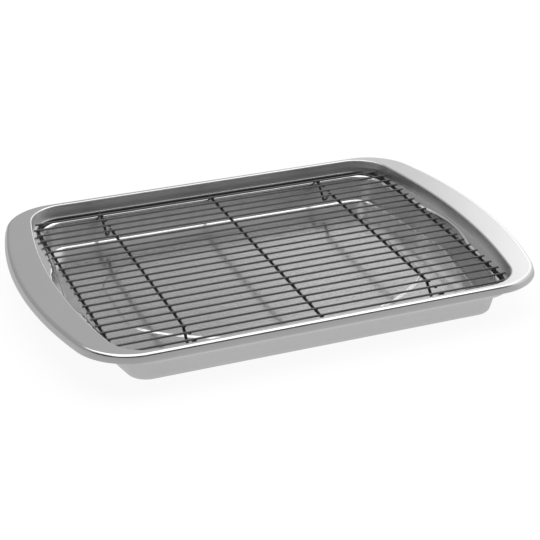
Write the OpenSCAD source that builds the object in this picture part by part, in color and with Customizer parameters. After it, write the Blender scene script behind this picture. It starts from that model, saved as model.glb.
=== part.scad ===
// Sheet pan with a lift-out wire rack.
// Millimetres, +Z up. The pan stands on Z = 0 with its middle over the origin and its length along X.

/* [Pan] */
// Length of the pan over its two end flanges
pan_l = 434; // [380:1:500]
// Width of the pan over its side rims
pan_w = 307; // [270:1:370]
// Height of the rim over the surface that the pan stands on
pan_h = 36.4; // [32:0.1:50]
// Thickness of the drawn sheet
sheet_t = 1; // [0.6:0.1:1.3]
// Width of the flange in the middle of each short end
end_flange_w = 28.8; // [24:0.2:36]
// Width of the rim along each long side
side_flange_w = 7.6; // [7:0.1:14]
// Radius of the bowed outer edge at each short end
flange_bow_r = 420; // [340:10:700]
// Radius of the four outer corners in plan
flange_corner_r = 50; // [42:1:58]

/* [Pan edge] */
// Radius that the outer edge turns down with
lip_r = 3.5; // [2.5:0.1:3.8]
// Angle that the outer edge turns down by, in degrees
lip_turn = 72; // [60:1:90]
// Height of the turned-down edge
lip_drop = 6.2; // [4.5:0.1:8]

/* [Basin] */
// Radius of the bowed short sides of the opening
opening_bow_r = 567; // [460:10:900]
// Radius of the four corners of the opening in plan
opening_corner_r = 33; // [31:0.5:38]
// Radius where the flange turns into the wall
rim_roll_r = 1.4; // [1.3:0.1:2.4]
// Lean of the wall above the ledge, in degrees
upper_draft = 2; // [1:1:15]
// Radius at the foot of the wall above the ledge
ledge_fillet_r = 1; // [0.8:0.1:3.2]
// Depth of the ledge below the rim
ledge_depth = 12; // [10:0.1:14]
// How far the ledge reaches into the opening
ledge_reach = 10.7; // [9.8:0.1:12]
// Radius of the inner edge of the ledge
ledge_edge_r = 2; // [1.6:0.1:2.4]
// Lean of the wall below the ledge, in degrees
lower_draft = 14; // [6:1:16]
// Radius between the wall and the floor
floor_fillet_r = 4; // [2:0.1:5]

/* [Finger recess] */
// Half of the length that the recess takes out of the ledge, in the middle of each short end
recess_half_w = 38; // [30:1:44]
// How far the recess cuts into the flat of the ledge at its middle
recess_depth = 4.6; // [3.5:0.1:5.4]
// Lean of the wall of the recess, in degrees
recess_draft = 20.5; // [17:0.5:22]

/* [Floor panel] */
// Length of the raised field in the floor
panel_l = 274; // [220:1:290]
// Width of the raised field in the floor
panel_w = 208; // [190:1:212]
// Radius of the bowed long sides of the raised field
panel_bow_r = 185; // [180:5:400]
// Radius of the corners of the raised field
panel_corner_r = 35; // [20:1:40]
// Height of the raised field over the floor around it
panel_rise = 1; // [0.5:0.1:1.2]
// Width of the sloping edge of the raised field
panel_edge_w = 2.6; // [2.4:0.1:4]

/* [Rack] */
// Thickness of the long wires
long_wire_d = 1.9; // [1.5:0.1:2.4]
// Thickness of the border wire and of the bars across
bar_d = 2.5; // [2.2:0.1:3]
// Gap from the opening to the middle of the border wire at each short end, where the wire's corners begin
rack_end_gap = 5.7; // [5.4:0.1:8]
// Gap from the opening to the middle of the border wire along each long side
rack_side_gap = 8.2; // [6.6:0.1:8.6]
// Radius of the border wire's corners, to the middle of the wire
rack_corner_r = 24; // [22:0.5:30]
// How far the long wires stick out past the middle of the border wire
wire_overhang = 3.8; // [2:0.1:4.2]
// Least gap from the tip of a long wire to the wall of the pan
wire_tip_gap = 1; // [0.8:0.1:2.4]
// Gap between the outermost long wires and the border wire beside them
edge_wire_gap = 9.4; // [6:0.1:12]
// Distance between the two bars with feet
leg_bar_spacing = 216.6; // [160:1:250]

/* [Rack feet] */
// Depth of a foot below its bar
foot_depth = 12.4; // [9:0.1:15]
// Slope of the sides of a foot, in degrees
foot_slope = 46.5; // [40:0.5:60]
// Radius of the bends of a foot, to the middle of the wire
foot_bend_r = 4; // [3:0.1:5]
// Distance from the middle of a foot to the border wire beside it
foot_gap = 24.4; // [23:0.1:40]

/* [Fits] */
// Gap between the border wire and the ledge that it rests on
seat_gap = 0.3; // [0.2:0.05:0.4]
// How deep two wires sink into each other at a weld
weld_sink = 0.1; // [0.05:0.01:0.15]

/* [Hidden] */
wire_count = 22;
// Facets in a full turn: of a round wire, of a corner and of a wide bow
wire_fn = 48;
corner_fn = 144;
bow_fn = 720;
// Steps round a bend of the sheet
bend_steps = 5;
// Steps along the outline of a flat field, for its bow, its corner and its straight side
bow_steps = 16;
corner_steps = 12;
// How far a bend's own flat edge runs over the flat field that it joins, in the floor
lap = 1.2;
// The same on the rim, as a share of the flat of the rim along each long side
rim_lap_share = 0.4;
// How much a bent stretch is drawn down on each side, against the straight stretch that it runs into
draw_down = 0.02;
// Angle that a bent stretch runs on by inside its neighbours, in degrees
run_on = 0.4;
// How far the two ends of a recess reach past its crossing with the ledge
recess_overrun = 8;
// How far the cut of a recess reaches in from the edge of the ledge
recess_cut_w = 22;

half_l = pan_l / 2;
half_w = pan_w / 2;
ledge_z = pan_h - ledge_depth;
bar_r = bar_d / 2;
long_wire_r = long_wire_d / 2;

// Plan outlines: half length, half width, radius of the bowed end, radius of the corner
flange_outline = [half_l, half_w, flange_bow_r, flange_corner_r];
opening_outline = [half_l - end_flange_w, half_w - side_flange_w, opening_bow_r, opening_corner_r];
panel_outline = [panel_w / 2, panel_l / 2, panel_bow_r, panel_corner_r];

// The turned-down edge: its straight part, and how far the whole edge reaches past the flat of the flange
lip_straight = (lip_drop - lip_r * (1 - cos(lip_turn))) / sin(lip_turn);
lip_run = lip_r * sin(lip_turn) + lip_straight * cos(lip_turn);
rim_lap = rim_lap_share * (side_flange_w - lip_run - rim_roll_r);

// The bends down the wall, as centres in [reach into the opening, height]
roll_centre = [-rim_roll_r, pan_h - rim_roll_r];
ledge_foot = foot_of_wall(roll_centre, rim_roll_r, ledge_fillet_r, upper_draft, ledge_z);
ledge_edge = [ledge_reach - ledge_edge_r, ledge_z - ledge_edge_r];
floor_foot = foot_of_wall(ledge_edge, ledge_edge_r, floor_fillet_r, lower_draft, sheet_t);

// The step round the raised field: the angle and the radius of its two bends
step_turn = 2 * atan(panel_rise / panel_edge_w);
step_r = panel_edge_w / (2 * sin(step_turn));

// The recess: the edge of the flat ledge, the arc that cuts it, the foot of the recess's wall, and where the
// recess's own floor ends
ledge_edge_x = opening_outline[0] - ledge_edge[0];
ledge_edge_bow_r = opening_bow_r - ledge_edge[0];
recess_sag = recess_depth + ledge_edge_bow_r - sqrt(ledge_edge_bow_r ^ 2 - recess_half_w ^ 2);
recess_r = (recess_half_w ^ 2 + recess_sag ^ 2) / (2 * recess_sag);
recess_x = ledge_edge_x + recess_depth - recess_r;
recess_foot = foot_of_wall([0, ledge_z], 0, floor_fillet_r, recess_draft, sheet_t);
recess_floor_end = recess_depth + floor_foot[0] - ledge_edge[0] + 2 * lap;
recess_angle = asin((recess_half_w + recess_overrun) / recess_r);

// Heights of the middles of the wires, with the rack at rest
bar_z = ledge_z + seat_gap + bar_r;
long_wire_z = bar_z + bar_r + long_wire_r - weld_sink;

// The border wire and the wires that it carries
border_half_w = opening_outline[1] - rack_side_gap;
border_half_l = reach_at(opening_outline, border_half_w - rack_corner_r) - rack_end_gap;
long_wire_y = border_half_w - edge_wire_gap;
long_wire_pitch = 2 * long_wire_y / (wire_count - 1);

// A foot: its straight sides, its half width, and the middle of it
foot_side_l = (foot_depth - 2 * foot_bend_r * (1 - cos(foot_slope))) / sin(foot_slope);
foot_half_w = 2 * foot_bend_r * sin(foot_slope) + foot_side_l * cos(foot_slope);
foot_y = border_half_w - foot_gap;

pan_colour = "silver";
wire_colour = "dimgray";

// Centre of the bend at the foot of a wall that leaves the bend round start and leans by draft
function foot_of_wall(start, start_r, foot_r, draft, level) =
    let (run = (start[1] + (start_r + foot_r) * sin(draft) - level - foot_r) / cos(draft))
    [start[0] + (start_r + foot_r) * cos(draft) + run * sin(draft), level + foot_r];

// Points on an arc round a centre, between two angles
function arc(centre, r, start, end, steps = bend_steps) =
    [for (i = [0:steps]) let (a = start + (end - start) * i / steps) centre + r * [cos(a), sin(a)]];

function reversed(list) = [for (i = [len(list) - 1:-1:0]) list[i]];

// Of a plan outline: the centre of its bow, the centre of its corner and the angle where the two meet
function bow_x(o) = o[0] - o[2];
function corner_y(o) = o[1] - o[3];
function corner_x(o) = bow_x(o) + sqrt((o[2] - o[3]) ^ 2 - corner_y(o) ^ 2);
function turn(o) = atan2(corner_y(o), corner_x(o) - bow_x(o));

// The same outline moved in by a distance, or out by a negative one
function inset(o, d) = [for (size = o) size - d];

// Half the reach of an outline at a distance y from the long middle line
function reach_at(o, y) =
    y > o[2] * sin(turn(o))
        ? corner_x(o) + sqrt(o[3] ^ 2 - (y - corner_y(o)) ^ 2)
        : bow_x(o) + sqrt(o[2] ^ 2 - y ^ 2);

// Points round a quarter of an outline and round all of it
function quarter(o) = concat(
    [for (i = [0:bow_steps - 1]) let (a = turn(o) * i / bow_steps) [bow_x(o), 0] + o[2] * [cos(a), sin(a)]],
    arc([corner_x(o), corner_y(o)], o[3], turn(o), 90, corner_steps)
);
function half(o) = concat(quarter(o), [for (p = reversed(quarter(o))) [-p[0], p[1]]]);
function ring(o) = concat(half(o), [for (p = reversed(half(o))) if (p[1] > 0) [p[0], -p[1]]]);

// Surfaces of the sheet at a depth d below its upper face, as points in [reach, height]. Their ends are cut
// back by cut.
function lip_path(d, cut = 0) = concat(
    [[lip_run + rim_lap - cut, pan_h - d]],
    [for (p = arc([-lip_run, pan_h - lip_r], lip_r - d, 90, 90 - lip_turn)) [-p[0], p[1]]],
    [[lip_run, pan_h - lip_r] + (lip_r - d) * [-sin(lip_turn), cos(lip_turn)]
        - (lip_straight - cut) * [cos(lip_turn), sin(lip_turn)]]
);
function wall_path(d) = concat(
    arc(roll_centre, rim_roll_r - d, 90, upper_draft),
    arc(ledge_foot, ledge_fillet_r + d, 180 + upper_draft, 270),
    arc(ledge_edge, ledge_edge_r - d, 90, lower_draft),
    arc(floor_foot, floor_fillet_r + d, 180 + lower_draft, 270)
);
function basin_path(d, cut = 0) = concat(
    [[cut - rim_roll_r - rim_lap, pan_h - d]], wall_path(d), [[floor_foot[0] + lap - cut, sheet_t - d]]
);
function step_path(d, cut = 0) = concat(
    [[cut - lap, sheet_t - d]],
    [for (p = arc([0, sheet_t + step_r], step_r + d, 270, 270 - step_turn)) [-p[0], p[1]]],
    [for (p = arc([-panel_edge_w, sheet_t + panel_rise - step_r], step_r - d, 90 - step_turn, 90))
        [-p[0], p[1]]],
    [[panel_edge_w + lap - cut, sheet_t + panel_rise - d]]
);
function recess_path(d) = concat(
    [[0, ledge_z] - d * [cos(recess_draft), sin(recess_draft)]
        + sheet_t * [-sin(recess_draft), cos(recess_draft)]],
    arc(recess_foot, floor_fillet_r + d, 180 + recess_draft, 270),
    [[recess_floor_end, sheet_t - d]]
);

// A section of sheet between its upper and its lower face, drawn with X outward from the outline
module section(upper, lower) {
    mirror([1, 0])
        polygon(concat(upper, reversed(lower)));
}

// Sweeps a section round an outline. The second child is the same section as drawn down in the corners.
module along_bow(o) {
    translate([bow_x(o), 0, 0])
        rotate(-turn(o))
            rotate_extrude(angle = 2 * turn(o), $fn = bow_fn)
                translate([o[2], 0])
                    children();
}
module along_corner(o) {
    translate([corner_x(o), corner_y(o), 0])
        rotate(turn(o) - run_on)
            rotate_extrude(angle = 90 - turn(o) + 2 * run_on, $fn = corner_fn)
                translate([o[3], 0])
                    children();
}
module along(o) {
    for (x_side = [0, 1])
        mirror([x_side, 0, 0]) {
            along_bow(o)
                children(0);
            for (y_side = [0, 1])
                mirror([0, y_side, 0])
                    along_corner(o)
                        children(1);
        }
    for (y_side = [0, 1])
        mirror([0, y_side, 0])
            translate([-corner_x(o), o[1], 0])
                rotate([90, 0, 90])
                    linear_extrude(2 * corner_x(o))
                        children(0);
}

// A flat field of sheet between two outlines, with its underside at a height. It runs on inside the bends
// round it, so it is drawn down twice as much as they are.
module field(z, outer) {
    translate([0, 0, z + 2 * draw_down])
        linear_extrude(sheet_t - 4 * draw_down)
            difference() {
                polygon(outer);
                children();
            }
}

// Turns a section about the middle of the recess's arc
module along_recess() {
    translate([recess_x, 0, 0])
        rotate(-recess_angle)
            rotate_extrude(angle = 2 * recess_angle, $fn = bow_fn)
                translate([recess_r, 0])
                    children();
}

// The wall of a finger recess, cut off where it comes out of the sheet into the basin
module recess_wall() {
    difference() {
        along_recess()
            section(recess_path(0), recess_path(sheet_t - 3 * draw_down));
        along_bow(opening_outline)
            section(wall_path(sheet_t / 2), [
                [-rim_roll_r, pan_h + sheet_t],
                [floor_foot[0] + recess_cut_w, pan_h + sheet_t],
                [floor_foot[0] + recess_cut_w, sheet_t / 2]
            ]);
    }
}
module recess_cut() {
    along_recess()
        section(recess_path(-draw_down), [[0, ledge_z + sheet_t], [recess_cut_w, ledge_z + sheet_t]]);
}

module sheet_pan() {
    color(pan_colour) {
        along(flange_outline) {
            section(lip_path(0), lip_path(sheet_t));
            section(lip_path(draw_down, draw_down), lip_path(sheet_t - draw_down, draw_down));
        }
        field(pan_h - sheet_t, ring(inset(flange_outline, lip_run + rim_lap / 2)))
            polygon(ring(inset(opening_outline, -rim_roll_r - rim_lap / 2)));
        difference() {
            along(opening_outline) {
                section(basin_path(0), basin_path(sheet_t));
                section(basin_path(draw_down, draw_down), basin_path(sheet_t - draw_down, draw_down));
            }
            for (x_side = [0, 1])
                mirror([x_side, 0, 0])
                    recess_cut();
        }
        for (x_side = [0, 1])
            mirror([x_side, 0, 0])
                recess_wall();
        field(0, ring(inset(opening_outline, floor_foot[0] + lap / 2)))
            rotate(90)
                polygon(ring(inset(panel_outline, -lap / 2)));
        rotate(90)
            along(panel_outline) {
                section(step_path(0), step_path(sheet_t));
                section(step_path(draw_down, draw_down), step_path(sheet_t - draw_down, draw_down));
            }
        rotate(90)
            field(panel_rise, ring(inset(panel_outline, panel_edge_w + lap / 2)));
    }
}

// A straight piece of round wire along Y from the origin
module wire(l, r) {
    rotate([-90, 0, 0])
        cylinder(h = l, r = r, $fn = wire_fn);
}

// A bend of bar wire that leaves the origin along +Y and turns towards +X
module bend(r, angle) {
    translate([r, 0, 0])
        rotate(180 - angle - run_on)
            rotate_extrude(angle = angle + 2 * run_on, $fn = corner_fn)
                translate([r, 0])
                    circle(r = bar_r - draw_down, $fn = wire_fn);
}

module border_wire() {
    color(wire_colour)
        translate([0, 0, bar_z])
            for (x_side = [0, 1])
                mirror([x_side, 0, 0]) {
                    translate([border_half_l, rack_corner_r - border_half_w, 0])
                        wire(2 * (border_half_w - rack_corner_r), bar_r);
                    for (y_side = [0, 1])
                        mirror([0, y_side, 0]) {
                            translate([0, border_half_w, 0])
                                rotate(-90)
                                    wire(border_half_l - rack_corner_r, bar_r);
                            translate([border_half_l, border_half_w - rack_corner_r, 0])
                                mirror([1, 0, 0])
                                    bend(rack_corner_r, 90);
                        }
                }
}

// A bar across, cut hollow at both ends where it meets the border wire
module bar_across() {
    color(wire_colour)
        translate([0, 0, bar_z])
            difference() {
                children();
                for (y_side = [0, 1])
                    mirror([0, y_side, 0])
                        translate([-bar_d, border_half_w, 0])
                            rotate([0, 90, 0])
                                cylinder(h = 2 * bar_d, r = bar_r - weld_sink, $fn = wire_fn);
            }
}

module centre_bar() {
    bar_across()
        translate([0, -border_half_w, 0])
            wire(2 * border_half_w, bar_r);
}

// One side of a foot, from the bar along +Y down its slope. The children stand at the end of the slope.
module foot_side() {
    translate([0, -foot_half_w, 0])
        rotate([0, 90, 0]) {
            bend(foot_bend_r, foot_slope);
            translate([foot_bend_r * (1 - cos(foot_slope)), foot_bend_r * sin(foot_slope), 0])
                rotate(-foot_slope) {
                    wire(foot_side_l, bar_r);
                    translate([0, foot_side_l, 0])
                        children();
                }
        }
}

module foot() {
    foot_side()
        mirror([1, 0, 0])
            bend(foot_bend_r, 2 * foot_slope);
    mirror([0, 1, 0])
        foot_side();
}

module leg_bar() {
    bar_across() {
        translate([0, foot_half_w - foot_y, 0])
            wire(2 * (foot_y - foot_half_w), bar_r);
        for (y_side = [0, 1])
            mirror([0, y_side, 0])
                translate([0, foot_y, 0]) {
                    foot();
                    translate([0, foot_half_w, 0])
                        wire(foot_gap - foot_half_w, bar_r);
                }
    }
}

module leg_bar_left() {
    translate([-leg_bar_spacing / 2, 0, 0])
        leg_bar();
}

module leg_bar_right() {
    translate([leg_bar_spacing / 2, 0, 0])
        leg_bar();
}

// A long wire, counted from the front. Near the corners of the pan it is cut shorter.
module long_wire(number) {
    y = -long_wire_y + (number - 1) * long_wire_pitch;
    wall = inset(opening_outline, ledge_foot[0] - ledge_fillet_r * cos(upper_draft));
    tip = min(border_half_l + wire_overhang, reach_at(wall, abs(y) + long_wire_r) - wire_tip_gap);
    color(wire_colour)
        translate([-tip, y, long_wire_z])
            rotate(-90)
                wire(2 * tip, long_wire_r);
}

sheet_pan();
border_wire();
leg_bar_left();
leg_bar_right();
centre_bar();
long_wire(1);  // long_wire_01
long_wire(2);  // long_wire_02
long_wire(3);  // long_wire_03
long_wire(4);  // long_wire_04
long_wire(5);  // long_wire_05
long_wire(6);  // long_wire_06
long_wire(7);  // long_wire_07
long_wire(8);  // long_wire_08
long_wire(9);  // long_wire_09
long_wire(10);  // long_wire_10
long_wire(11);  // long_wire_11
long_wire(12);  // long_wire_12
long_wire(13);  // long_wire_13
long_wire(14);  // long_wire_14
long_wire(15);  // long_wire_15
long_wire(16);  // long_wire_16
long_wire(17);  // long_wire_17
long_wire(18);  // long_wire_18
long_wire(19);  // long_wire_19
long_wire(20);  // long_wire_20
long_wire(21);  // long_wire_21
long_wire(22);  // long_wire_22
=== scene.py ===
import math

import bpy
import numpy as np
from mathutils import Matrix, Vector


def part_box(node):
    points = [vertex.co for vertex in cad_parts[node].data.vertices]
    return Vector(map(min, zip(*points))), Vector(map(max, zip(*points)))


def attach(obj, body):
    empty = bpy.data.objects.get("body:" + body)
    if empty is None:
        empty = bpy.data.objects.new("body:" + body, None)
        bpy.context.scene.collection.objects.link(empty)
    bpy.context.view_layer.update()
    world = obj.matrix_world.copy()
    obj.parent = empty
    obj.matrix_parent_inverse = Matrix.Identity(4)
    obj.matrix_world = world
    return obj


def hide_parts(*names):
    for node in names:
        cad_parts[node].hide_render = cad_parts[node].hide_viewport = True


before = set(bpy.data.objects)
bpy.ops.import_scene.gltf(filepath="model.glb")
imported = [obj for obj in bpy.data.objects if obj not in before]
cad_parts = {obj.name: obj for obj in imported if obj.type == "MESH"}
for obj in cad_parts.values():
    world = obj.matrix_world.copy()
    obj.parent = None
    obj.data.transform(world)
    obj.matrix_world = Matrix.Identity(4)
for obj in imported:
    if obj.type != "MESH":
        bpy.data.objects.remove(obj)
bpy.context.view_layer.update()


# The pan is one sheet of bare aluminium, 1 mm thick, drawn over a die in one stroke and trimmed at the lip.
# Its mesh is one profile carried round the plan: from the middle of the floor up the wall, over the flange
# and its turned-down lip, and back under to the middle again. Sizes are in millimetres.
MM = 0.001
SHEET = 1.0
PAN_H = 36.4
LEDGE_Z = 24.4
# Outlines of the flange, the opening and the floor's raised field: half the distance between the bowed sides,
# half the distance between the straight ones, the bows' radius and the corners' radius
FLANGE = (217.0, 153.5, 420.0, 50.0)
OPENING = (188.2, 145.9, 567.0, 33.0)
PANEL = (104.0, 137.0, 185.0, 35.0)
LIP_R, LIP_TURN, LIP_DROP = 3.5, math.radians(72), 6.2
ROLL_R, UPPER_DRAFT, LEDGE_FILLET_R = 1.4, math.radians(2), 0.25
LEDGE_FLAT_END, LEDGE_EDGE_R, LOWER_DRAFT, FLOOR_FILLET_R = 8.3, 3.1, math.radians(14), 2.0
RECESS_HALF_W, RECESS_DEPTH, RECESS_DRAFT = 38.0, 4.6, math.radians(20.5)
PANEL_RISE, PANEL_EDGE_W = 1.0, 2.6


def plan_quarter(outline, bow_steps, corner_steps, side_steps):
    """Points and outward normals of a quarter outline: an arc about bow_x, a corner arc, a straight side."""
    end_x, side_y, bow_r, corner_r = outline
    bow_x, corner_y = end_x - bow_r, side_y - corner_r
    corner_x = bow_x + math.sqrt((bow_r - corner_r) ** 2 - corner_y**2)
    turn = math.atan2(corner_y, corner_x - bow_x)
    a = np.linspace(0, turn, bow_steps + 1)[:-1]
    b = np.linspace(turn, math.pi / 2, corner_steps + 1)
    s = np.linspace(corner_x, 0, side_steps + 1)[1:]
    points = np.concatenate([
        np.stack([bow_x + bow_r * np.cos(a), bow_r * np.sin(a)], 1),
        np.stack([corner_x + corner_r * np.cos(b), corner_y + corner_r * np.sin(b)], 1),
        np.stack([s, np.full_like(s, side_y)], 1),
    ])
    turns = np.concatenate([a, b, np.full_like(s, math.pi / 2)])
    return points, np.stack([np.cos(turns), np.sin(turns)], 1)


def whole_round(quarter):
    """The quarter, then its mirror images in X, in both and in Y, anticlockwise with no point twice."""
    back = quarter[::-1]
    return np.concatenate([quarter[:-1], (back * [-1, 1])[:-1], (-quarter)[:-1], (back * [1, -1])[:-1]])


# All three outlines have the same number of points, so their rows join point to point. The raised field is
# bowed on its long sides, so its quarter is made with X and Y swapped.
OUTLINE_STEPS, PANEL_STEPS = (60, 46, 22), (66, 44, 18)
opening_p, opening_n = map(whole_round, plan_quarter(OPENING, *OUTLINE_STEPS))
flange_p, flange_n = map(whole_round, plan_quarter(FLANGE, *OUTLINE_STEPS))
panel_p, panel_n = (whole_round(q[::-1, ::-1]) for q in plan_quarter(PANEL, *PANEL_STEPS))
around = len(opening_p)


def soft_min(a, b, k):
    """The smaller of a and b, rounded over where they cross: -k log(exp(-a/k) + exp(-b/k))."""
    return -k * np.logaddexp(-a / k, -b / k)


def bend(centre_x, centre_z, r, start, end, steps):
    """Rows of an arc about (centre_x, centre_z) from angle start to end, a column for each plan point."""
    t = np.linspace(0, 1, steps + 1)[:, None]
    angle = (start + (end - start) * t) * np.ones(around)
    return np.stack([centre_x + r * np.cos(angle), centre_z + r * np.sin(angle)], 2)


def straight(a, b, shares):
    """Rows between row a and row b at these shares of the way."""
    t = np.array(shares)[:, None, None]
    return a[None] * (1 - t) + b[None] * t


def corner_reach(r, draft):
    """How far a bend between a flat and a wall reaches from their corner: r x (1 - sin draft) / cos draft."""
    return r * (1 - np.sin(draft)) / np.cos(draft)


# How far in from the opening's edge the wall stands, all round: at the foot of its upper part, at the ledge's
# inner edge and at the floor. The finger recess of each short end, a cone, cuts the last two back.
upper_foot = -ROLL_R + ROLL_R * math.cos(UPPER_DRAFT) + (
    PAN_H - ROLL_R + ROLL_R * math.sin(UPPER_DRAFT) - LEDGE_Z
) * math.tan(UPPER_DRAFT)
ledge_corner = LEDGE_FLAT_END + corner_reach(LEDGE_EDGE_R, LOWER_DRAFT)
floor_corner = ledge_corner + (LEDGE_Z - SHEET) * math.tan(LOWER_DRAFT)
recess_bow = OPENING[2] - LEDGE_FLAT_END
recess_sag = RECESS_DEPTH + recess_bow - math.sqrt(recess_bow**2 - RECESS_HALF_W**2)
recess_r = (RECESS_HALF_W**2 + recess_sag**2) / (2 * recess_sag)
recess_x = OPENING[0] - LEDGE_FLAT_END + RECESS_DEPTH - recess_r
recess_floor_r = recess_r - (LEDGE_Z - SHEET) * math.tan(RECESS_DRAFT)
# The cone is looked for only along the middle of each end, and well clear of the wall elsewhere
END_HALF_W, END_FROM_X, UNCUT = 80.0, 150.0, 99.0
along, across = abs(opening_p).T
at_end = (across < END_HALF_W) & (along > END_FROM_X)
across = np.minimum(across, END_HALF_W)
cut_at_ledge = np.where(at_end, along - recess_x - np.sqrt(recess_r**2 - across**2), UNCUT)
cut_at_floor = np.where(at_end, along - recess_x - np.sqrt(recess_floor_r**2 - across**2), UNCUT)
TOP_BLEND, FOOT_BLEND = 0.3, 0.6
wall_top = soft_min(np.full(around, ledge_corner), cut_at_ledge, TOP_BLEND)
wall_foot = soft_min(np.full(around, floor_corner), cut_at_floor, FOOT_BLEND)
lean = np.arctan2(wall_foot - wall_top, LEDGE_Z - SHEET)
# Where the recess leaves little of the ledge, its two bends shrink to these shares of what is left
FILLET_SHARE, EDGE_SHARE, BEND_BLEND = 0.66, 0.55, 0.15
ledge_w = wall_top - upper_foot
fillet_r = soft_min(np.full(around, LEDGE_FILLET_R), ledge_w * FILLET_SHARE, BEND_BLEND)
edge_r = soft_min(np.full(around, LEDGE_EDGE_R), ledge_w * EDGE_SHARE, BEND_BLEND)
TIGHTEST_R = 0.03
BEND_STEPS, FLOOR_STEPS, LIP_STEPS, RISE_STEPS = 10, 12, 14, 6


def wall_rows(d):
    """Reach and height down the wall at depth d below the upper face: roll, wall, ledge, wall, floor fillet.

    A bend that bulges up has radius r - d and a hollow one r + d, so the sheet is as thick as elsewhere.
    """
    roll = bend(-ROLL_R, PAN_H - ROLL_R, ROLL_R - d, math.pi / 2, UPPER_DRAFT, BEND_STEPS)
    foot_x = upper_foot + corner_reach(fillet_r, UPPER_DRAFT)
    foot = bend(foot_x, LEDGE_Z + fillet_r, fillet_r + d, math.pi + UPPER_DRAFT, 1.5 * math.pi, BEND_STEPS)
    edge_x = wall_top - corner_reach(edge_r, lean)
    inner_r = np.maximum(edge_r - d, TIGHTEST_R)
    edge = bend(edge_x, LEDGE_Z - edge_r, inner_r, math.pi / 2, lean, BEND_STEPS)
    floor_x = wall_foot + corner_reach(FLOOR_FILLET_R, lean)
    floor_z, floor_r = SHEET + FLOOR_FILLET_R, FLOOR_FILLET_R + d
    floor = bend(floor_x, floor_z, floor_r, math.pi + lean, 1.5 * math.pi, FLOOR_STEPS)
    return np.concatenate([
        roll, straight(roll[-1], foot[0], (0.06, 0.35, 0.65, 0.94)),
        foot, straight(foot[-1], edge[0], (0.1, 0.5, 0.9)),
        edge, straight(edge[-1], floor[0], (0.03, 0.2, 0.4, 0.6, 0.8, 0.97)),
        floor,
    ])


def lip_rows(d):
    """Reach and height over the turned-down lip: an arc through LIP_TURN, then a straight run down."""
    drop = (LIP_DROP - LIP_R * (1 - math.cos(LIP_TURN))) / math.sin(LIP_TURN)
    run = LIP_R * math.sin(LIP_TURN) + drop * math.cos(LIP_TURN)
    arc = bend(-run, PAN_H - LIP_R, LIP_R - d, math.pi / 2, math.pi / 2 - LIP_TURN, LIP_STEPS) * [-1, 1]
    end = arc[-1] + drop * np.array([-math.cos(LIP_TURN), -math.sin(LIP_TURN)])
    return np.concatenate([arc, straight(arc[-1], end, (0.1, 0.5, 0.93, 1.0))])


def step_rows(d):
    """Reach and height up the step round the raised field: two arcs of one radius that meet halfway up."""
    turn = 2 * math.atan(PANEL_RISE / PANEL_EDGE_W)
    r = PANEL_EDGE_W / (2 * math.sin(turn))
    low = bend(0, SHEET + r, r + d, 1.5 * math.pi, 1.5 * math.pi - turn, RISE_STEPS)
    top_z = SHEET + PANEL_RISE
    high = bend(-PANEL_EDGE_W, top_z - r, r - d, math.pi / 2 - turn, math.pi / 2, RISE_STEPS)
    return np.concatenate([low, high[1:]]) * [-1, 1]


def placed(rows, points, normals):
    """Rows of (reach, height) as points in space: the plan's point less reach times its outward normal."""
    xy = points[None] - rows[:, :, :1] * normals[None]
    return np.concatenate([xy, rows[:, :, 1:]], 2)


def face_of_sheet(d):
    """All rows of one face of the sheet, from near the middle of the floor out to the end of the lip."""
    step = placed(step_rows(d)[::-1], panel_p, panel_n)
    shares = np.array([0.03, 0.1, 0.2, 0.3, 0.4, 0.5, 0.6, 0.7, 0.8, 0.9, 0.96, 0.99])[:, None, None]
    level = np.broadcast_to(step[0][None, :, 2:], (len(shares), around, 1))
    field = np.concatenate([step[0][None, :, :2] * shares, level], 2)
    wall = placed(wall_rows(d)[::-1], opening_p, opening_n)
    lip = placed(lip_rows(d), flange_p, flange_n)
    floor = straight(step[-1], wall[0], (0.03, 0.3, 0.6, 0.9, 0.98))
    rim = straight(wall[-1], lip[0], (0.04, 0.15, 0.35, 0.5, 0.65, 0.85, 0.96))
    return np.concatenate([field, step, floor, wall, rim, lip])


def smooth_piece(name, points, faces):
    """An object with a smooth-shaded mesh of these points, which are in millimetres."""
    mesh = bpy.data.meshes.new(name)
    mesh.from_pydata((points * MM).tolist(), [], faces)
    mesh.polygons.foreach_set("use_smooth", np.ones(len(faces), bool))
    mesh.update()
    piece = bpy.data.objects.new(name, mesh)
    bpy.context.scene.collection.objects.link(piece)
    return piece


def closed_mesh(name, rows, closed_path=False):
    """A mesh from rows of points: a quad between neighbours, and at both ends a fan to a pole."""
    count, sides = rows.shape[:2]
    points = rows.reshape(-1, 3)
    i, j = np.meshgrid(np.arange(count if closed_path else count - 1), np.arange(sides), indexing="ij")
    here, there = i * sides, (i + 1) % count * sides
    k = (j + 1) % sides
    quads = np.stack([here + j, there + j, there + k, here + k], 2).reshape(-1, 4)
    faces = quads.tolist()
    if not closed_path:
        first, last = len(points), len(points) + 1
        points = np.concatenate([points, rows[[0, -1]].mean(1)])
        ring = np.arange(sides)
        onward = (ring + 1) % sides
        faces += np.stack([np.full(sides, first), ring, onward], 1).tolist()
        end = (count - 1) * sides
        faces += np.stack([np.full(sides, last), end + onward, end + ring], 1).tolist()
    return smooth_piece(name, points, faces)


pan = closed_mesh("drawn_pan", np.concatenate([face_of_sheet(0), face_of_sheet(SHEET)[::-1]]))


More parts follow.
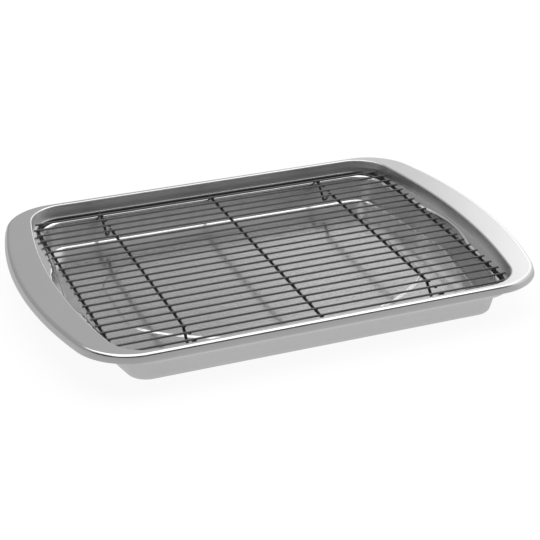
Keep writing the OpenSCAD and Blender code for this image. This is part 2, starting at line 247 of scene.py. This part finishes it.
class Flow:
    """A value on its way through a material's nodes. Sums and products of it add Math nodes."""

    def __init__(self, tree, socket=None):
        self.tree, self.socket = tree, socket

    def node(self, kind, settings=None, inputs=None, out=0):
        made = self.tree.nodes.new("ShaderNode" + kind)
        for name, value in (settings or {}).items():
            if name == "stops":
                stops = made.color_ramp.elements
                while len(stops) < len(value):
                    stops.new(1)
                for stop, (place, grey) in zip(stops, value):
                    stop.position, stop.color = place, (grey, grey, grey, 1)
            else:
                setattr(made, name, value)
        for name, value in (inputs or {}).items():
            if isinstance(value, Flow):
                self.tree.links.new(value.socket, made.inputs[name])
            else:
                made.inputs[name].default_value = value
        return Flow(self.tree, made.outputs[out] if made.outputs else None)

    def math(self, operation, *values):
        return self.node("Math", {"operation": operation}, dict(enumerate(values)))

    def __add__(self, other):
        return self.math("ADD", self, other)

    def __sub__(self, other):
        return self.math("SUBTRACT", self, other)

    def __rsub__(self, other):
        return self.math("SUBTRACT", other, self)

    def __mul__(self, other):
        return self.math("MULTIPLY", self, other)

    __radd__, __rmul__ = __add__, __mul__


def new_material(name):
    """An empty node material and the start of its flow."""
    material = bpy.data.materials.new(name)
    material.use_nodes = True
    material.node_tree.nodes.clear()
    return material, Flow(material.node_tree)


def mixed(share, a, b):
    """The colour at this share of the way from a to b."""
    return share.node("Mix", {"data_type": "RGBA"}, {"Factor": share, "A": a, "B": b}, out="Result")


# Where the wall under the ledge is duller, as shares of the wall's height
WALL_BAND = ((0.14, 0.0), (0.2, 1.0), (0.8, 1.0), (0.88, 0.0))
FLAT_GREYS = (0.60, 0.60, 0.605, 1), (0.68, 0.68, 0.68, 1)
DRAWN_GREYS = (0.69, 0.69, 0.695, 1), (0.78, 0.78, 0.78, 1)


def satin_aluminium():
    """Bare rolled sheet: fine grain along X, cloudy gloss and faint scuffs.

    Where the walls were drawn the skin is lighter and duller.
    """
    material, flow = new_material("satin_aluminium")
    place = flow.node("TexCoord", out="Object")
    height = flow.node("SeparateXYZ", inputs={0: place}, out="Z")

    def past(start, end):
        """0 on the near side of height start, 1 beyond height end."""
        return flow.node("MapRange", inputs={"Value": height, "From Min": start * MM, "From Max": end * MM})

    drawn_out = flow.node("Mapping", inputs={"Vector": place, "Scale": (60, 2600, 2600)})
    grain = flow.node("TexNoise", inputs={"Vector": drawn_out, "Scale": 1.0, "Detail": 3.0, "Roughness": 0.6})
    cloud = flow.node("TexNoise", inputs={"Vector": place, "Scale": 16.0, "Detail": 4.0, "Roughness": 0.55})
    slant = flow.node("Mapping", inputs={"Vector": place, "Rotation": (0, 0, 0.5), "Scale": (30, 420, 200)})
    scuff = flow.node("TexNoise", inputs={"Vector": slant, "Scale": 1.0, "Detail": 5.0, "Roughness": 0.7})
    scuff = flow.node("ValToRGB", {"stops": ((0.58, 0.0), (0.72, 1.0))}, {"Fac": scuff})
    upper_wall = past(LEDGE_Z + 0.1, LEDGE_Z + 0.5) * past(PAN_H - 1.2, PAN_H - 2.2)
    lower_wall = flow.node("ValToRGB", {"stops": WALL_BAND}, {"Fac": height * (1 / (LEDGE_Z - SHEET) / MM)})
    roughness = 0.12 + 0.07 * cloud + 0.04 * grain + 0.04 * scuff + 0.2 * upper_wall + 0.12 * lower_wall
    mottle = 0.5 * cloud + 0.35 * grain
    tone = mixed(past(PAN_H - 4, PAN_H - 9), mixed(mottle, *FLAT_GREYS), mixed(mottle, *DRAWN_GREYS))
    fine = flow.node("Bump", inputs={"Strength": 0.35, "Distance": 0.04 * MM, "Height": grain + 0.5 * scuff})
    wave = flow.node("TexNoise", inputs={"Vector": place, "Scale": 9.0, "Detail": 1.0, "Roughness": 0.4})
    relief = flow.node("Bump", inputs={"Strength": 0.5, "Distance": 1.2 * MM, "Height": wave, "Normal": fine})
    surface = flow.node("BsdfPrincipled", inputs={
        "Base Color": tone, "Metallic": 1.0, "Roughness": roughness, "Normal": relief})
    flow.node("OutputMaterial", inputs={"Surface": surface})
    return material


pan.data.materials.append(satin_aluminium())
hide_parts("sheet_pan")
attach(pan, "pan")


# The rack's border and its three bars are steel wire 2.5 mm thick. The border is bent to a closed rectangle;
# the outer two bars have a V-shaped foot pressed down near each end. All are butt-welded at bar level.
BAR_R, REST_GAP = 1.25, 0.3
BAR_Z = LEDGE_Z + REST_GAP + BAR_R
BORDER_X, BORDER_Y, BORDER_CORNER_R = 170.98, 137.7, 24.0
LEG_X = 108.3
FOOT_Y, FOOT_DEPTH, FOOT_SLOPE, FOOT_BEND_R = 113.3, 12.4, math.radians(46.5), 4.0
BAR_SIDES = 20


def wire_rows(path, r, across, sides):
    """A round wire along a flat path: at each point a circle in the plane of across and of across x ahead."""
    ahead = np.gradient(path, axis=0)
    ahead /= np.linalg.norm(ahead, axis=1, keepdims=True)
    other = np.cross(across, ahead)
    angle = np.linspace(0, 2 * math.pi, sides, endpoint=False)[None, :, None]
    return path[:, None] + r * (np.cos(angle) * np.array(across) + np.sin(angle) * other[:, None])


def arc_points(centre, r, start, end, steps):
    """Points of a flat arc about centre from angle start to angle end."""
    angle = np.linspace(start, end, steps + 1)
    return np.stack([centre[0] + r * np.cos(angle), centre[1] + r * np.sin(angle)], 1)


# One quarter of the border, then its mirror images
END_STEPS, CORNER_STEPS, SIDE_STEPS = 16, 20, 20
corner_x, corner_y = BORDER_X - BORDER_CORNER_R, BORDER_Y - BORDER_CORNER_R
corner = arc_points((corner_x, corner_y), BORDER_CORNER_R, 0, math.pi / 2, CORNER_STEPS)
end_side = np.stack([np.full(END_STEPS, BORDER_X), np.linspace(0, corner_y, END_STEPS + 1)[:-1]], 1)
long_side = np.stack([np.linspace(corner_x, 0, SIDE_STEPS + 1)[1:], np.full(SIDE_STEPS, BORDER_Y)], 1)
border_xy = whole_round(np.concatenate([end_side, corner, long_side]))
border_path = np.concatenate([border_xy, np.full((len(border_xy), 1), BAR_Z)], 1)
looped = np.concatenate([border_path[-1:], border_path, border_path[:1]])
border_rows = wire_rows(looped, BAR_R, (0, 0, 1), BAR_SIDES)[1:-1]
border = closed_mesh("border", border_rows[:, ::-1], closed_path=True)


def bar(name, x, yz):
    """A bar across at x along the points (y, z), both ends let a hair into the border wire."""
    path = np.concatenate([np.full((len(yz), 1), x), yz], 1)
    return closed_mesh(name, wire_rows(path, BAR_R, (1, 0, 0), BAR_SIDES))


# A bar's ends lie this share of the border wire's radius in from its middle
END_SHARE = 0.6
reach = BORDER_Y - BAR_R * END_SHARE
centre_y = np.linspace(-reach, reach, 61)
centre_bar = bar("centre_bar_wire", 0.0, np.stack([centre_y, np.full_like(centre_y, BAR_Z)], 1))

# A foot's path: a bend down, a straight slope, a bend round the lowest point, and the same again upwards
slope_l = (FOOT_DEPTH - 2 * FOOT_BEND_R * (1 - math.cos(FOOT_SLOPE))) / math.sin(FOOT_SLOPE)
foot_half_w = 2 * FOOT_BEND_R * math.sin(FOOT_SLOPE) + slope_l * math.cos(FOOT_SLOPE)
down = arc_points((FOOT_Y - foot_half_w, BAR_Z - FOOT_BEND_R), FOOT_BEND_R,
                  math.pi / 2, math.pi / 2 - FOOT_SLOPE, BEND_STEPS)
under = arc_points((FOOT_Y, BAR_Z - FOOT_DEPTH + FOOT_BEND_R), FOOT_BEND_R,
                   1.5 * math.pi - FOOT_SLOPE, 1.5 * math.pi, BEND_STEPS)
slope = down[-1] + (under[0] - down[-1]) * np.linspace(0.1, 0.9, 7)[:, None]
half_foot = np.concatenate([down, slope, under])
whole_foot = np.concatenate([half_foot, ((half_foot - [FOOT_Y, 0]) * [-1, 1] + [FOOT_Y, 0])[::-1][1:]])
before = np.linspace(0, FOOT_Y - foot_half_w, 24)[:-1]
after = np.linspace(FOOT_Y + foot_half_w, reach, 6)[1:]
half_leg = np.concatenate([
    np.stack([before, np.full_like(before, BAR_Z)], 1), whole_foot,
    np.stack([after, np.full_like(after, BAR_Z)], 1)])
leg_path = np.concatenate([(half_leg * [-1, 1])[::-1], half_leg[1:]])
leg_left = bar("leg_bar_wire_left", -LEG_X, leg_path)
leg_right = bar("leg_bar_wire_right", LEG_X, leg_path)


def dark_coating(name, low, high, gloss):
    """Non-stick coating on steel: near black, half gloss, with a fine orange-peel skin and lighter places."""
    material, flow = new_material(name)
    place = flow.node("TexCoord", out="Object")
    peel = flow.node("TexNoise", inputs={"Vector": place, "Scale": 900.0, "Detail": 2.0})
    cloud = flow.node("TexNoise", inputs={"Vector": place, "Scale": 45.0, "Detail": 3.0})
    tone = mixed(cloud, (low, low, low * 1.04, 1), (high, high, high, 1))
    relief = flow.node("Bump", inputs={"Strength": 0.3, "Distance": 0.03 * MM, "Height": peel})
    surface = flow.node("BsdfPrincipled", inputs={
        "Base Color": tone, "Roughness": 0.26 + 0.14 * cloud, "Specular IOR Level": gloss, "Normal": relief})
    flow.node("OutputMaterial", inputs={"Surface": surface})
    return material


# The border, the bars and the weld beads get a darker copy of the coating than the long wires: painted shade.
shaded_bar_coating = dark_coating("dark_coating", 0.004, 0.010, 0.3)
for piece, node in ((border, "border_wire"), (centre_bar, "centre_bar"), (leg_left, "leg_bar_left"),
                    (leg_right, "leg_bar_right")):
    piece.data.materials.append(shaded_bar_coating)
    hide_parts(node)
    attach(piece, "rack")


# The 22 long wires, 1.9 mm thick, lie on the border and the bars and are resistance-welded at each crossing.
# Each ends in a cut tip with its edge rounded off, and the ones next to the pan's corners are cut shorter.
LONG_R, LONG_COUNT, LONG_IN, WELD_SINK = 0.95, 22, 9.4, 0.1
LONG_Z = BAR_Z + BAR_R + LONG_R - WELD_SINK
long_y = np.linspace(-(BORDER_Y - LONG_IN), BORDER_Y - LONG_IN, LONG_COUNT)
LONG_SIDES, LONG_ROWS, TIP_L = 16, 90, 0.25
girth = np.arange(LONG_SIDES) * 2 * math.pi / LONG_SIDES
circle = np.stack([np.zeros(LONG_SIDES), np.cos(girth), np.sin(girth)], 1)
long_r = LONG_R * np.concatenate([[0.4, 0.8], np.ones(LONG_ROWS + 2), [0.8, 0.4]])
# The long wires get a lighter copy of the same coating, a painted highlight for the overhead lamp along their
# tops.
lit_long_coating = dark_coating("lit_wire_coating", 0.055, 0.095, 0.6)

for number, y in enumerate(long_y, 1):
    node = f"long_wire_{number:02d}"
    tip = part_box(node)[1][0] / MM
    between = np.linspace(-tip + 4 * TIP_L, tip - 4 * TIP_L, LONG_ROWS)
    x = np.concatenate([[-tip, -tip, -tip + TIP_L], between, [tip - TIP_L, tip, tip]])
    path = np.stack([x, np.full_like(x, y), np.full_like(x, LONG_Z)], 1)
    wire = closed_mesh(f"rack_{node}", (path[:, None] + long_r[:, None, None] * circle)[::-1])
    wire.data.materials.append(lit_long_coating)
    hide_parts(node)
    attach(wire, "rack")


# A small bead of weld stands out round each crossing of a long wire with a bar or with the border's ends,
# squeezed flat between the two wires and coated with them.
BEAD = np.array([1.75, 1.9, 0.7])
BEAD_Z = BAR_Z + BAR_R - WELD_SINK / 2
BEAD_RINGS, BEAD_SIDES, LAST_RING = 5, 10, 1.2


def beads_mesh(name, centres):
    """Ellipsoids at all centres: rings (cos u cos v, cos u sin v, sin u) times BEAD, then their two poles."""
    latitudes = np.linspace(-LAST_RING, LAST_RING, BEAD_RINGS)
    u, v = np.meshgrid(latitudes, np.arange(BEAD_SIDES) * 2 * math.pi / BEAD_SIDES, indexing="ij")
    rings = np.stack([np.cos(u) * np.cos(v), np.cos(u) * np.sin(v), np.sin(u)], 2).reshape(-1, 3)
    shape = np.concatenate([rings, [[0, 0, -1], [0, 0, 1]]]) * BEAD
    ring = np.arange(BEAD_SIDES)
    onward = (ring + 1) % BEAD_SIDES
    start = np.arange(BEAD_RINGS)[:, None] * BEAD_SIDES
    here, beside = start + ring, start + onward
    quads = np.stack([here[:-1], beside[:-1], beside[1:], here[1:]], 2).reshape(-1, 4)
    low = np.stack([np.full(BEAD_SIDES, len(rings)), beside[0], here[0]], 1)
    high = np.stack([np.full(BEAD_SIDES, len(rings) + 1), here[-1], beside[-1]], 1)
    points = (centres[:, None] + shape[None]).reshape(-1, 3)
    steps = np.arange(len(centres))[:, None, None] * len(shape)
    faces = (quads[None] + steps).reshape(-1, 4).tolist()
    faces += (np.concatenate([low, high])[None] + steps).reshape(-1, 3).tolist()
    return smooth_piece(name, points, faces)


past_corner = np.maximum(abs(long_y) - corner_y, 0)
end_x = corner_x + np.sqrt(BORDER_CORNER_R**2 - past_corner**2)
bead_x = np.stack([-end_x, *np.outer((-LEG_X, 0, LEG_X), np.ones(LONG_COUNT)), end_x], 1)
bead_y = np.broadcast_to(long_y[:, None], bead_x.shape)
crossings = np.stack([bead_x, bead_y, np.full_like(bead_x, BEAD_Z)], 2).reshape(-1, 3)
beads = beads_mesh("weld_beads", crossings)
# The beads take the bars' darker copy of the coating, which is painted shade.
beads.data.materials.append(shaded_bar_coating)
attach(beads, "rack")


# The stage: a plain pale floor that shows as white with a soft shadow, a large soft lamp overhead, and light
# from all round instead of walls. Mirrored, the floor is an even pale grey. Its places are in metres.
FLOOR_HALF_W, FLOOR_Z = 8, -0.0002
CORNERS = (-1, -1), (1, -1), (1, 1), (-1, 1)
floor_points = [(x * FLOOR_HALF_W, y * FLOOR_HALF_W, FLOOR_Z) for x, y in CORNERS]
floor_mesh = bpy.data.meshes.new("floor")
floor_mesh.from_pydata(floor_points, [], [(0, 1, 2, 3)])
floor = bpy.data.objects.new("floor", floor_mesh)
bpy.context.scene.collection.objects.link(floor)
pale, flow = new_material("pale_floor")
rays = flow.node("LightPath")
seen = Flow(flow.tree, rays.socket.node.outputs["Is Camera Ray"])
mirrored = flow.math("MAXIMUM", Flow(flow.tree, rays.socket.node.outputs["Is Glossy Ray"]),
                     Flow(flow.tree, rays.socket.node.outputs["Is Transmission Ray"]))
shown = flow.math("MAXIMUM", 0.88 * seen, 0.85 * mirrored)
lit = flow.node("BsdfDiffuse", inputs={"Color": (0.85, 0.85, 0.85, 1)})
glow = flow.node("Emission", inputs={"Color": (1, 1, 1, 1), "Strength": 1.04 - 0.36 * mirrored})
both = flow.node("MixShader", inputs={0: shown, 1: lit, 2: glow})
flow.node("OutputMaterial", inputs={"Surface": both})
floor_mesh.materials.append(pale)

# The light from all round: behind the pan it rises from left to right, by the X of the direction, and before
# it a dark band stands over a paler lower part, by the direction's Z
BACK_LIGHT = ((0.0, 0.45), (0.2, 0.565), (0.26, 0.585), (0.3, 0.65), (0.34, 0.84), (0.38, 0.93), (0.42, 0.83),
              (0.445, 0.93), (0.465, 1.07), (0.482, 1.42), (0.5, 1.55), (0.62, 1.6), (0.9, 0.9))
FRONT_LIGHT = ((0.0, 0.36), (0.2, 0.55), (0.36, 0.75), (0.43, 0.6), (0.52, 0.04), (0.86, 0.04), (0.93, 0.5))
world = bpy.data.worlds.new("studio")
bpy.context.scene.world = world
world.use_nodes = True
world.node_tree.nodes.clear()
flow = Flow(world.node_tree)
way = flow.node("TexCoord", out="Generated")
FRONT = (-0.37, -0.93, 0.0)
to_front = flow.node("VectorMath", {"operation": "DOT_PRODUCT"}, {0: way, 1: FRONT}, out="Value")
rise = flow.node("SeparateXYZ", inputs={0: way}, out="Z")
to_right = flow.node("SeparateXYZ", inputs={0: way}, out="X")
back_light = flow.node("ValToRGB", {"stops": BACK_LIGHT}, {"Fac": to_right})
front_light = flow.node("ValToRGB", {"stops": FRONT_LIGHT}, {"Fac": rise})
facing = flow.node("ValToRGB", {"stops": ((0.0, 0.0), (0.2, 1.0))}, {"Fac": to_front})
light = flow.node("Background", inputs={"Color": mixed(facing, back_light, front_light), "Strength": 1.0})
flow.node("OutputWorld", inputs={"Surface": light})

# The lamp faces straight down; its power is its radiance x pi x its area
LAMP_SIDE, LAMP_RADIANCE, LAMP_PLACE = 2.0, 1.4, (0.0, 0.2, 1.6)
lamp = bpy.data.lights.new("overhead", "AREA")
lamp.shape = "RECTANGLE"
lamp.size = lamp.size_y = LAMP_SIDE
lamp.energy = LAMP_RADIANCE * math.pi * LAMP_SIDE**2
overhead = bpy.data.objects.new("overhead", lamp)
overhead.location = LAMP_PLACE
bpy.context.scene.collection.objects.link(overhead)

# The camera stands at the front left, about 1.4 m away, with a 103 mm lens on a 36 mm square frame. RIGHT, UP
# and BACK are its own axes.
FRAME_W, FRAME_PX, FOCAL_PX = 36.0, 540, 1542.8
EYE = (-0.4487, -1.1298, 0.6035)
RIGHT, UP, BACK = (0.92753, -0.37375, 0), (0.16396, 0.40690, 0.89864), (-0.33587, -0.83351, 0.43869)
lens = bpy.data.cameras.new("camera")
lens.sensor_fit = "HORIZONTAL"
lens.sensor_width = FRAME_W
lens.lens = FOCAL_PX / FRAME_PX * FRAME_W
lens.clip_end = 100
camera = bpy.data.objects.new("camera", lens)
camera.matrix_world = Matrix.Translation(EYE) @ Matrix((RIGHT, UP, BACK)).transposed().to_4x4()
bpy.context.scene.collection.objects.link(camera)
bpy.context.scene.camera = camera
bpy.context.scene.view_settings.view_transform = "Standard"
